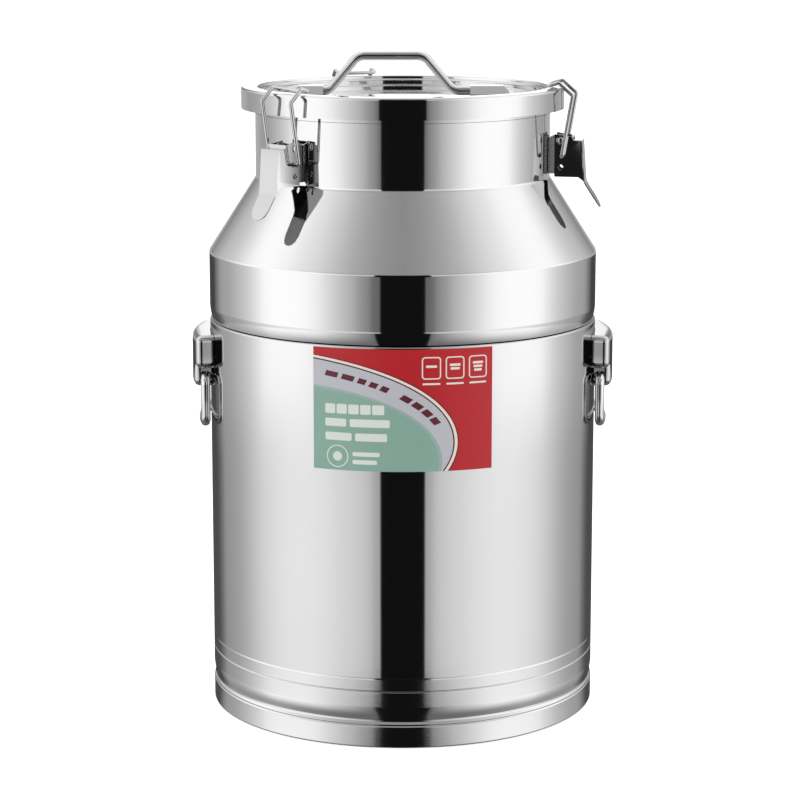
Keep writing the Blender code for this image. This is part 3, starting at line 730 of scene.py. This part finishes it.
def make_bracket(word, side, finish):
    """Pressed cover on the side of the barrel. The bail's ends turn in through its lower block."""
    back = BODY_RADIUS + GAP
    front = BRACKET[1].x
    body = curved_block(bracket_outline(), back, front, 24, BRACKET_ROUNDING)
    hollow = curved_block(bracket_outline(BRACKET_SHEET), back - 0.0060, front - 2.0 * BRACKET_SHEET, 24)
    holes = bmesh.new()
    reach = BRACKET_MIDDLE_HALF_WIDTH
    for direction in (-1.0, 1.0):
        ends = sorted((direction * (reach - 0.0060), direction * (reach + 0.0040)))
        cylinder_along_y(
            holes, SIDE_BAIL_PIVOT[0], SIDE_BAIL_PIVOT[1], SIDE_BAIL_RADIUS + 0.0005, ends[0], ends[1], 32
        )
    name = f"side_bracket_{word}"
    mesh = combine(name, body, [("DIFFERENCE", hollow), ("DIFFERENCE", holes)])
    bracket = link(name, mesh, finish)
    even = bracket.modifiers.new("even_normals", "WEIGHTED_NORMAL")
    even.keep_sharp = True
    bracket.rotation_euler.z = 0.0 if side > 0 else math.pi
    place(bracket, "can", "bracket_steel", f"side_handle_{word}_bracket")


def make_side_bail(word, side, finish):
    """Hanging bar handle, with its two ends turned in to the pins that it swings on."""
    drop = SIDE_BAIL_LOW - SIDE_BAIL_PIVOT[1]
    half = SIDE_BAIL_HALF_WIDTH
    corners = [(0.0, SIDE_BAIL_PIN_END, 0.0), (0.0, half, 0.0), (0.0, half, drop), (0.0, 0.0, drop)]
    quarter = rounded_path(corners, (SIDE_BAIL_BEND, SIDE_BAIL_BEND), 10)[:-1]
    run = 12
    for index in range(1, run):
        quarter.append(Vector((0.0, (half - SIDE_BAIL_BEND) * (1.0 - index / run), drop)))
    whole = quarter + [Vector((0.0, 0.0, drop))]
    whole += [Vector((point.x, -point.y, point.z)) for point in reversed(quarter)]
    for point in whole:
        lowness = min(max(point.z / drop, 0.0), 1.0)
        point.x = lowness * SIDE_BAIL_BOW * math.cos(point.y / half * math.pi / 2.0)
    bail = bar(f"side_bail_{word}", whole, SIDE_BAIL_RADIUS, finish)
    turn = Matrix.Rotation(0.0 if side > 0 else math.pi, 4, "Z")
    bail.matrix_world = turn @ Matrix.Translation((SIDE_BAIL_PIVOT[0], 0.0, SIDE_BAIL_PIVOT[1]))
    place(bail, f"side_handle_{word}_bail", "bail_steel", f"side_handle_{word}_bail")


def make_side_handles():
    # The brackets' steel is toned down to 0.50, a painted shade that greys them.
    shaded_bracket_material = steel("bracket_steel", tone=0.50, stretch=(6.0, 6.0, 500.0))
    bail_finish = steel("bail_steel", stretch=(500.0, 8.0, 8.0))
    for word, side in (("left", -1), ("right", 1)):
        make_bracket(word, side, shaded_bracket_material)
        make_side_bail(word, side, bail_finish)


# ---- Latches: drawn in their own frame, +X outwards from the can's axis and +Y round the can ------------


def away_from(point, centre):
    return (point[0] - centre[0], point[1] - centre[1])


def lever_strip():
    """The bent strip: a short top wall and shelf, the outer wall, and a finger tab with a round tip."""
    rows = [
        (0.1539, 0.5205, LEVER_HALF_WIDTH - 0.0004),
        (0.1543, 0.5173, LEVER_HALF_WIDTH - 0.0004),
        (0.1627, 0.5169, LEVER_HALF_WIDTH),
        (0.1653, 0.4806, LEVER_HALF_WIDTH),
        (0.1669, 0.4772, 0.0102),
        (0.1742, 0.4660, 0.0098),
        (0.1769, 0.4615, 0.0082),
        (0.1785, 0.4588, 0.0056),
        (0.1793, 0.4575, 0.0022),
    ]
    outer = [away_from(row[:2], LEVER_PIVOT) for row in rows]
    inner = offset_line(outer, -LEVER_SHEET)
    builder = bmesh.new()
    loops = []
    for (x_out, z_out), (x_in, z_in), row in zip(outer, inner, rows):
        half = row[2]
        loop = [
            builder.verts.new((x_out, -half, z_out)),
            builder.verts.new((x_out, half, z_out)),
            builder.verts.new((x_in, half, z_in)),
            builder.verts.new((x_in, -half, z_in)),
        ]
        loops.append(loop)
    skin(builder, loops)
    return builder


def lever_flange_outline():
    points = [
        (0.1382, 0.5225),
        (0.1382, 0.4845),
        (0.1597, 0.4843),
        (0.1639, 0.4812),
        (0.1647, 0.4815),
        (0.1622, 0.5164),
        (0.1550, 0.5168),
        (0.1537, 0.5202),
    ]
    return [away_from(point, LEVER_PIVOT) for point in points]


def lever_mesh():
    """Channel-shaped lever: strip, two side flanges, and holes for the pin, the wire and a lock."""
    outline = lever_flange_outline()
    inner = LEVER_HALF_WIDTH - LEVER_SHEET
    holes = bmesh.new()
    reach = LEVER_HALF_WIDTH + 0.0020
    for centre, radius in ((LEVER_PIVOT, PIN_RADIUS), (WIRE_ANCHOR, WIRE_RADIUS), (LOCK_HOLE, 0.0020)):
        x, z = away_from(centre, LEVER_PIVOT)
        cylinder_along_y(holes, x, z, radius + 0.0004, -reach, reach, 28)
    steps = [
        ("UNION", prism(outline, inner, LEVER_HALF_WIDTH - 0.00005)),
        ("UNION", prism(outline, -LEVER_HALF_WIDTH + 0.00005, -inner)),
        ("DIFFERENCE", holes),
    ]
    return combine("lever", lever_strip(), steps)


def base_mesh():
    """Latch base welded to the neck: a back plate and two ears that carry the lever's pin."""
    back = NECK_RADIUS + GAP
    front = back + BASE_SHEET
    ear = [
        (back, BASE_EAR_TOP),
        (back, BASE_EAR_LOW),
        (back + 0.0058, BASE_EAR_LOW),
        (LEVER_PIVOT[0] + 0.0045, LEVER_PIVOT[1] - 0.0095),
    ]
    ear += arc(LEVER_PIVOT, EAR_ROUND, -35.0, 90.0, 12)
    inner = BASE_HALF_WIDTH - BASE_SHEET
    plate = [(back, BASE_EAR_TOP), (back, BASE_EAR_LOW), (front, BASE_EAR_LOW), (front, BASE_EAR_TOP)]
    hole = bmesh.new()
    reach = BASE_HALF_WIDTH + 0.0020
    cylinder_along_y(hole, LEVER_PIVOT[0], LEVER_PIVOT[1], PIN_RADIUS + 0.0004, -reach, reach, 28)
    steps = [
        ("UNION", prism(ear, inner, BASE_HALF_WIDTH)),
        ("UNION", prism(ear, -BASE_HALF_WIDTH, -inner)),
        ("DIFFERENCE", hole),
    ]
    return combine("latch_base", prism(plate, -inner - 0.0002, inner + 0.0002), steps)


def pin_mesh():
    """Pin through the ears and the lever, with a domed head at each end."""
    reach = LEVER_HALF_WIDTH + GAP
    dome = 0.0010
    head_radius = PIN_RADIUS + 0.0014
    steps = 6
    stations = [(-reach, PIN_RADIUS), (-reach, head_radius)]
    for index in range(1, steps):
        angle = math.pi / 2.0 * index / steps
        stations.append((-reach - dome * math.sin(angle), head_radius * math.cos(angle)))
    stations.reverse()
    stations += [(-y, radius) for y, radius in reversed(stations)]
    builder = bmesh.new()
    sides = 32
    rings = []
    for y, radius in stations:
        ring = []
        for index in range(sides):
            angle = math.tau * index / sides
            ring.append(builder.verts.new((radius * math.cos(angle), y, radius * math.sin(angle))))
        rings.append(ring)
    skin(builder, rings)
    return mesh_from("latch_pin", builder)


def wire_points():
    """Wire bail. Its ends turn in through the lever, and its bent top hooks over the lid's rim."""
    half = WIRE_HALF_WIDTH
    hook = (0.1328, LID_TOP + WIRE_RADIUS + 0.0008)
    side = [WIRE_ANCHOR, (0.1546, 0.5572), (0.1421, 0.5682), hook]
    x_z = [away_from(point, WIRE_ANCHOR) for point in side]
    turned_in = BASE_HALF_WIDTH + 0.0007
    corners = [(0.0, turned_in, 0.0)]
    corners += [(x, half, z) for x, z in x_z]
    corners += [(x, -half, z) for x, z in reversed(x_z)]
    corners.append((0.0, -turned_in, 0.0))
    return rounded_path(corners, [WIRE_BEND] * (len(corners) - 2), 8)


def paint_lever_shade_and_highlight(lever, inside, outside):
    """Gives a lever rougher inner faces with painted shade, and outer side walls with a painted highlight.
    """
    lever.data.materials.append(inside)
    lever.data.materials.append(outside)
    wall = LEVER_HALF_WIDTH - 0.6 * LEVER_SHEET
    for face in lever.data.polygons:
        # The side walls take the brighter copy, a painted highlight; the inner faces take the darker copy,
        # painted shade.
        if abs(face.center.y) > wall:
            if abs(face.normal.y) > 0.7:
                face.material_index = 2
        elif face.normal.x < 0.3 and face.normal.z < 0.5:
            face.material_index = 1


def make_latches():
    lever = lever_mesh()
    base = base_mesh()
    pin = pin_mesh()
    wire = wire_points()
    # Painted light: the lever's steel is toned down to 0.46, a painted shade that greys it; a darker copy
    # paints shade on its inner faces and a brighter copy paints a highlight on its side walls.
    shaded_lever_material = steel("lever_steel", tone=0.46)
    painted_shade_material = steel("lever_painted_shade", tone=0.30, roughness=0.30)
    painted_highlight_material = steel("lever_painted_highlight", tone=0.90)
    base_finish = steel("latch_base_steel", roughness=0.28)
    pin_finish = steel("pin_steel", roughness=0.12)
    # The wires' steel is toned down to 0.52, a painted shade that darkens them.
    shaded_wire_material = steel("wire_steel", tone=0.52, stretch=(8.0, 8.0, 500.0))
    for name, angle in LATCH_ANGLES.items():
        turn = Matrix.Rotation(math.radians(angle - 90.0), 4, "Z")
        pivot = turn @ Matrix.Translation((LEVER_PIVOT[0], 0.0, LEVER_PIVOT[1]))
        anchor = turn @ Matrix.Translation((WIRE_ANCHOR[0], 0.0, WIRE_ANCHOR[1]))
        base_piece = soften(link(f"{name}_foot", base.copy(), base_finish), 0.0003, 2)
        base_piece.matrix_world = turn
        place(base_piece, "can", "latch_base_steel", f"{name}_base")
        lever_piece = soften(link(f"{name}_handle", lever.copy(), shaded_lever_material), 0.0004)
        paint_lever_shade_and_highlight(lever_piece, painted_shade_material, painted_highlight_material)
        lever_piece.matrix_world = pivot
        place(lever_piece, f"{name}_lever", "lever_steel", f"{name}_lever")
        pin_piece = link(f"{name}_pin", pin.copy(), pin_finish)
        pin_piece.matrix_world = pivot
        place(pin_piece, f"{name}_lever", "pin_steel", f"{name}_pivot_pin")
        wire_piece = bar(f"{name}_wire", wire, WIRE_RADIUS, shaded_wire_material)
        wire_piece.matrix_world = anchor
        place(wire_piece, f"{name}_wire", "wire_steel", f"{name}_wire_bail")


# ---- Label --------------------------------------------------------------------------------------------

LABEL_WIDTH = 2.0 * math.radians(LABEL_HALF_ANGLE) * BODY_RADIUS
LABEL_HEIGHT = LABEL_HIGH - LABEL_LOW
OUTER_CENTRE = (-0.20, 0.765)
MIDDLE_CENTRE = (-0.15, 0.840)
INNER_CENTRE = (-0.10, 0.920)
DASHES = ((3, 6), (7, 10), (11, 13), (14, 16), (17, 19), (23, 26), (27, 30), (31, 34), (35, 38))
FRAME_WIDTH = 0.105
FRAME_LINE = 0.007
FRAME_TOP = 0.062
FRAME_LOW = 0.245


def on_label(points):
    """Points given as shares of the label's width and height, from its top left corner, in metres."""
    return [((u - 0.5) * LABEL_WIDTH, LABEL_HIGH - v * LABEL_HEIGHT) for u, v in points]


def box_outline(left, top, right, low):
    return [(left, top), (right, top), (right, low), (left, low)]


def rounded_box(left, top, right, low, corner):
    """Outline of a box on the label with round corners; corner is a share of the label's width."""
    tall = corner * LABEL_WIDTH / LABEL_HEIGHT
    outline = []
    for u, v, start in (
        (right - corner, top + tall, -90.0),
        (right - corner, low - tall, 0.0),
        (left + corner, low - tall, 90.0),
        (left + corner, top + tall, 180.0),
    ):
        for cos_sin in arc((0.0, 0.0), 1.0, start, start + 90.0, 5):
            outline.append((u + corner * cos_sin[0], v + tall * cos_sin[1]))
    return outline


def sweep_curve(centre, reach_u, reach_v, steps=40):
    """Part of an ellipse on the label, from its left edge over the top and down to its lower edge."""
    first = math.asin(-centre[0] / reach_u)
    last = math.acos(-(1.0 - centre[1]) / reach_v)
    points = []
    for index in range(steps + 1):
        angle = first + (last - first) * index / steps
        points.append((centre[0] + reach_u * math.sin(angle), centre[1] - reach_v * math.cos(angle)))
    return points


def band_between(outer, inner):
    return outer + list(reversed(inner))


def sweeps():
    """The light band that sweeps down the label, its fine edge lines and the field inside it."""
    edges = [
        ("dark_red", sweep_curve(OUTER_CENTRE, 1.006, 0.720)),
        ("cream", sweep_curve(OUTER_CENTRE, 1.000, 0.712)),
        ("dark_red", sweep_curve(OUTER_CENTRE, 0.984, 0.692)),
        ("silver", sweep_curve(OUTER_CENTRE, 0.976, 0.681)),
        ("grey_teal", sweep_curve(INNER_CENTRE, 0.815, 0.615)),
    ]
    field = sweep_curve(INNER_CENTRE, 0.797, 0.592)
    lines = [line for _, line in edges] + [field]
    shapes = []
    for (colour, outer), inner in zip(edges, lines[1:]):
        shapes.append((colour, 1, band_between(outer, inner)))
    shapes.append(("teal", 1, field + [(0.0, 1.0)]))
    return shapes


def dashes_on_band():
    """Plain dashes along the middle of the light band."""
    middle = sweep_curve(MIDDLE_CENTRE, 0.896, 0.655, 60)
    half = 0.022
    shapes = []
    for first, last in DASHES:
        start = Vector(middle[first])
        end = Vector(middle[last])
        along = (end - start).normalized()
        across = Vector((-along.y, along.x)) * half
        dash = (start - across, end - across, end + across, start + across)
        shapes.append(("plum", 2, [tuple(point) for point in dash]))
    return shapes


def rows_on_field():
    """Plain bars in rows on the field, with a ring and two short bars below them."""
    shapes = []
    rows = (
        (0.455, 0.535, ((0.070, 0.128), (0.136, 0.194), (0.202, 0.260), (0.268, 0.326), (0.334, 0.400))),
        (0.575, 0.640, ((0.070, 0.190), (0.210, 0.430))),
        (0.690, 0.755, ((0.070, 0.220), (0.240, 0.415))),
        (0.845, 0.880, ((0.225, 0.375),)),
        (0.910, 0.945, ((0.225, 0.360),)),
    )
    for top, low, runs in rows:
        for left, right in runs:
            shapes.append(("pale", 2, rounded_box(left, top, right, low, 0.008)))
    centre = (0.140, 0.885)
    for colour, layer, radius in (("pale", 2, 0.062), ("teal", 3, 0.056), ("pale", 4, 0.026)):
        tall = radius * LABEL_WIDTH / LABEL_HEIGHT
        around = arc((0.0, 0.0), 1.0, 0.0, 350.0, 35)
        shapes.append((colour, layer, [(centre[0] + radius * c, centre[1] + tall * d) for c, d in around]))
    return shapes


def frames_at_top():
    """Three round-cornered frames at the top right, each with a plain shape in it and bars under it."""
    shapes = []
    for index, left in enumerate((0.602, 0.732, 0.862)):
        right = left + FRAME_WIDTH
        tall_line = FRAME_LINE * LABEL_WIDTH / LABEL_HEIGHT
        shapes.append(("cream", 1, rounded_box(left, FRAME_TOP, right, FRAME_LOW, 0.018)))
        inner = (left + FRAME_LINE, FRAME_TOP + tall_line, right - FRAME_LINE, FRAME_LOW - tall_line)
        shapes.append(("red", 2, rounded_box(*inner, 0.012)))
        middle = (left + right) / 2.0
        for step in range(index + 1):
            half = 0.030 - 0.004 * step
            top = 0.110 + 0.030 * step + 0.010 * (2 - index)
            shapes.append(("cream", 3, rounded_box(middle - half, top, middle + half, top + 0.020, 0.004)))
        shapes.append(("cream", 1, rounded_box(left + 0.004, 0.275, right - 0.004, 0.290, 0.003)))
    return shapes


def make_label():
    """Glossy sticker on the front of the barrel: generic sweeps, bars and frames in plain inks."""
    inks = {
        "red": ink("label_red", (0.40, 0.006, 0.012)),
        "dark_red": ink("label_dark_red", (0.10, 0.003, 0.006)),
        "cream": ink("label_cream", (0.66, 0.62, 0.56)),
        "pale": ink("label_pale", (0.58, 0.62, 0.58)),
        "silver": ink("label_silver", (0.42, 0.42, 0.46)),
        "teal": ink("label_teal", (0.20, 0.34, 0.28)),
        "grey_teal": ink("label_grey_teal", (0.26, 0.36, 0.33)),
        "plum": ink("label_plum", (0.10, 0.015, 0.025)),
    }
    turn = Matrix.Rotation(math.radians(-90.0), 4, "Z")
    face = BODY_RADIUS + GAP + LABEL_SHEET
    sheet_outline = on_label(box_outline(0.0, 0.0, 1.0, 1.0))
    sheet = curved_block(sheet_outline, BODY_RADIUS + GAP * 0.3, face, 48)
    backing = link("label_backing", mesh_from("label_backing", sheet), inks["red"])
    backing.matrix_world = turn
    place(backing, "can", "label_print", "label")
    printed = {}
    for colour, layer, outline in sweeps() + dashes_on_band() + rows_on_field() + frames_at_top():
        low = face + PRINT_SHEET * (layer - 0.8)
        points = on_label(outline)
        width = max(x for x, _ in points) - min(x for x, _ in points)
        builder = curved_block(points, low, low + PRINT_SHEET * 0.9, 2 + int(width / PRINT_COLUMN))
        shape = mesh_from("shape", builder)
        printed.setdefault(colour, bmesh.new()).from_mesh(shape)
        bpy.data.meshes.remove(shape)
    for colour, builder in printed.items():
        name = f"label_print_{colour}"
        piece = link(name, mesh_from(name, builder), inks[colour])
        piece.matrix_world = turn
        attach(piece, "can")


# ---- Stage, light and camera --------------------------------------------------------------------------

# Brightness of the surroundings against the bearing from the front, in degrees, the same on both sides.
# The walls stand level with the can, and the lower walls are what the barrel mirrors.
BRIGHTEST = 2.0
WALL_LIGHT = (
    (0, 0.15), (16, 0.22), (20, 0.36), (25, 0.50), (30, 0.69), (37, 0.89), (45, 1.14), (53, 1.40),
    (61, 1.53), (75, 1.57), (86, 1.53), (95, 1.25), (104, 0.96), (116, 0.72), (125, 0.58),
    (135, 0.50), (147, 0.20), (155, 0.07), (180, 0.10),
)
LOWER_WALL_LIGHT = (
    (0, 0.50), (14, 0.60), (20, 0.84), (25, 0.95), (30, 1.02), (37, 1.10), (45, 1.20), (53, 1.26),
    (61, 1.29), (72, 1.27), (80, 1.20), (90, 1.06), (98, 0.90), (107, 0.71), (116, 0.57),
    (125, 0.49), (133, 0.42), (140, 0.24), (150, 0.10), (180, 0.08),
)
CEILING_LIGHT = (
    (0, 0.40), (20, 0.47), (41, 0.65), (60, 0.95), (76, 1.21), (105, 1.53), (129, 1.25), (180, 1.20),
)
HORIZON_LIGHT = (
    (0, 0.90), (22, 0.90), (42, 1.30), (62, 1.60), (105, 1.53), (111, 1.42), (121, 1.15), (127, 0.98),
    (132, 0.87), (140, 0.74), (152, 0.47), (164, 0.30), (171, 0.45), (176, 1.35), (180, 1.60),
)
REAR_LIGHT = 0.52
GROUND_LIGHT = 0.20
SLIT_LIGHT = 0.008
BACKDROP_LIGHT = 1.05
SLIT_HALF_WIDTH = 16.6
NARROW_SLIT_HALF_WIDTH = 13.1


def make_floor():
    """Large plain white disc under the can."""
    builder = bmesh.new()
    bmesh.ops.create_circle(builder, cap_ends=True, segments=96, radius=9.0)
    material, _, shader = new_material("floor_white")
    shader.inputs["Base Color"].default_value = (0.92, 0.92, 0.92, 1.0)
    shader.inputs["Roughness"].default_value = 0.9
    shader.inputs["Specular IOR Level"].default_value = 0.0
    shader.inputs["Emission Color"].default_value = (1.0, 1.0, 1.0, 1.0)
    shader.inputs["Emission Strength"].default_value = 0.5
    floor = link("floor", mesh_from("floor", builder), material)
    floor.location.z = -0.0002
    floor.visible_glossy = False


def step_between(tree, value, low, high):
    """0 below low, 1 above high, and a smooth step between them."""
    inputs = {"Value": value, "From Min": low, "From Max": high}
    return add(tree, "ShaderNodeMapRange", inputs, interpolation_type="SMOOTHSTEP").outputs[0]


def step_down(tree, value, low, high):
    """1 below low, 0 above high, and a smooth step between them."""
    return calculate(tree, "SUBTRACT", 1.0, step_between(tree, value, low, high))


def blend_values(tree, factor, first, second):
    inputs = {"Factor": factor, "A": first, "B": second}
    return add(tree, "ShaderNodeMix", inputs, data_type="FLOAT").outputs[0]


def light_curve(tree, share, points):
    """A brightness read from a smooth curve through points of (degrees, brightness)."""
    curve = add(tree, "ShaderNodeFloatCurve", {"Value": share})
    line = curve.mapping.curves[0]
    for index, (degrees, brightness) in enumerate(points):
        spot = (degrees / 180.0, brightness / BRIGHTEST)
        if index < 2:
            line.points[index].location = spot
        else:
            line.points.new(*spot)
    for point in line.points:
        point.handle_type = "AUTO_CLAMPED"
    curve.mapping.update()
    return calculate(tree, "MULTIPLY", curve.outputs[0], BRIGHTEST)


def make_studio():
    """White sweep with two soft light walls, a narrow dark slit in front and a dim ceiling over it.

    Heights and bearings are in degrees; each light fills a zone with soft edges and hides those before it.
    """
    world = bpy.data.worlds.new("studio")
    bpy.context.scene.world = world
    world.use_nodes = True
    tree = world.node_tree
    where = add(tree, "ShaderNodeTexCoord").outputs["Generated"]
    parts = add(tree, "ShaderNodeSeparateXYZ", {0: where})
    x, y, z = parts.outputs
    towards_front = calculate(tree, "MULTIPLY", y, -1.0)
    bearing = calculate(tree, "DEGREES", calculate(tree, "ARCTAN2", x, towards_front))
    side = calculate(tree, "ABSOLUTE", bearing)
    height = calculate(tree, "DEGREES", calculate(tree, "ARCSINE", z))
    share = calculate(tree, "DIVIDE", side, 180.0)
    wall = light_curve(tree, share, WALL_LIGHT)
    lower_wall = light_curve(tree, share, LOWER_WALL_LIGHT)
    ceiling = light_curve(tree, share, CEILING_LIGHT)
    horizon_light = light_curve(tree, share, HORIZON_LIGHT)

    lower_top = step_down(tree, height, -12.5, -10.0)
    lower_foot = step_between(tree, height, -17.4, -16.9)
    light = blend_values(tree, calculate(tree, "MULTIPLY", lower_top, lower_foot), wall, lower_wall)

    rear_side = step_between(tree, side, 125.0, 150.0)
    rear_foot = step_between(tree, height, -8.0, -6.2)
    light = blend_values(tree, calculate(tree, "MULTIPLY", rear_side, rear_foot), light, REAR_LIGHT)

    light = blend_values(tree, step_between(tree, height, 5.0, 35.0), light, ceiling)
    horizon_foot = step_between(tree, height, -2.0, 4.0)
    horizon_top = step_down(tree, height, 18.0, 32.0)
    light = blend_values(tree, calculate(tree, "MULTIPLY", horizon_foot, horizon_top), light, horizon_light)
    light = blend_values(tree, step_down(tree, height, -45.0, -14.0), light, GROUND_LIGHT)

    narrow_top = step_down(tree, height, -8.0, -6.5)
    narrow_foot = step_between(tree, height, -17.2, -17.0)
    narrow = calculate(tree, "MULTIPLY", narrow_top, narrow_foot)
    past_edge = calculate(
        tree, "SUBTRACT", side, blend_values(tree, narrow, SLIT_HALF_WIDTH, NARROW_SLIT_HALF_WIDTH)
    )
    slit_side = step_down(tree, past_edge, -0.6, 0.6)
    slit_top = step_down(tree, height, 18.0, 40.0)
    light = blend_values(tree, calculate(tree, "MULTIPLY", slit_side, slit_top), light, SLIT_LIGHT)

    seen = add(tree, "ShaderNodeLightPath").outputs["Is Camera Ray"]
    light = blend_values(tree, seen, light, BACKDROP_LIGHT)
    tree.links.new(light, tree.nodes["Background"].inputs["Strength"])
    tree.nodes["Background"].inputs["Color"].default_value = (1.0, 1.0, 1.0, 1.0)


def make_camera():
    data = bpy.data.cameras.new("camera")
    data.sensor_width = 36.0
    data.lens = 120.3
    camera = bpy.data.objects.new("camera", data)
    bpy.context.scene.collection.objects.link(camera)
    camera.location = (-0.0024, -2.407, 0.7406)
    camera.rotation_euler.x = math.radians(90.0 - 10.93)
    bpy.context.scene.camera = camera
    bpy.context.scene.view_settings.view_transform = "Standard"


make_barrel()
make_shoulder()
make_mouth_ring()
make_base_plate()
make_foot_ring()
make_lid_pan()
make_gasket()
make_lid_bar()
make_lugs()
make_side_handles()
make_latches()
make_label()
make_floor()
make_studio()
make_camera()
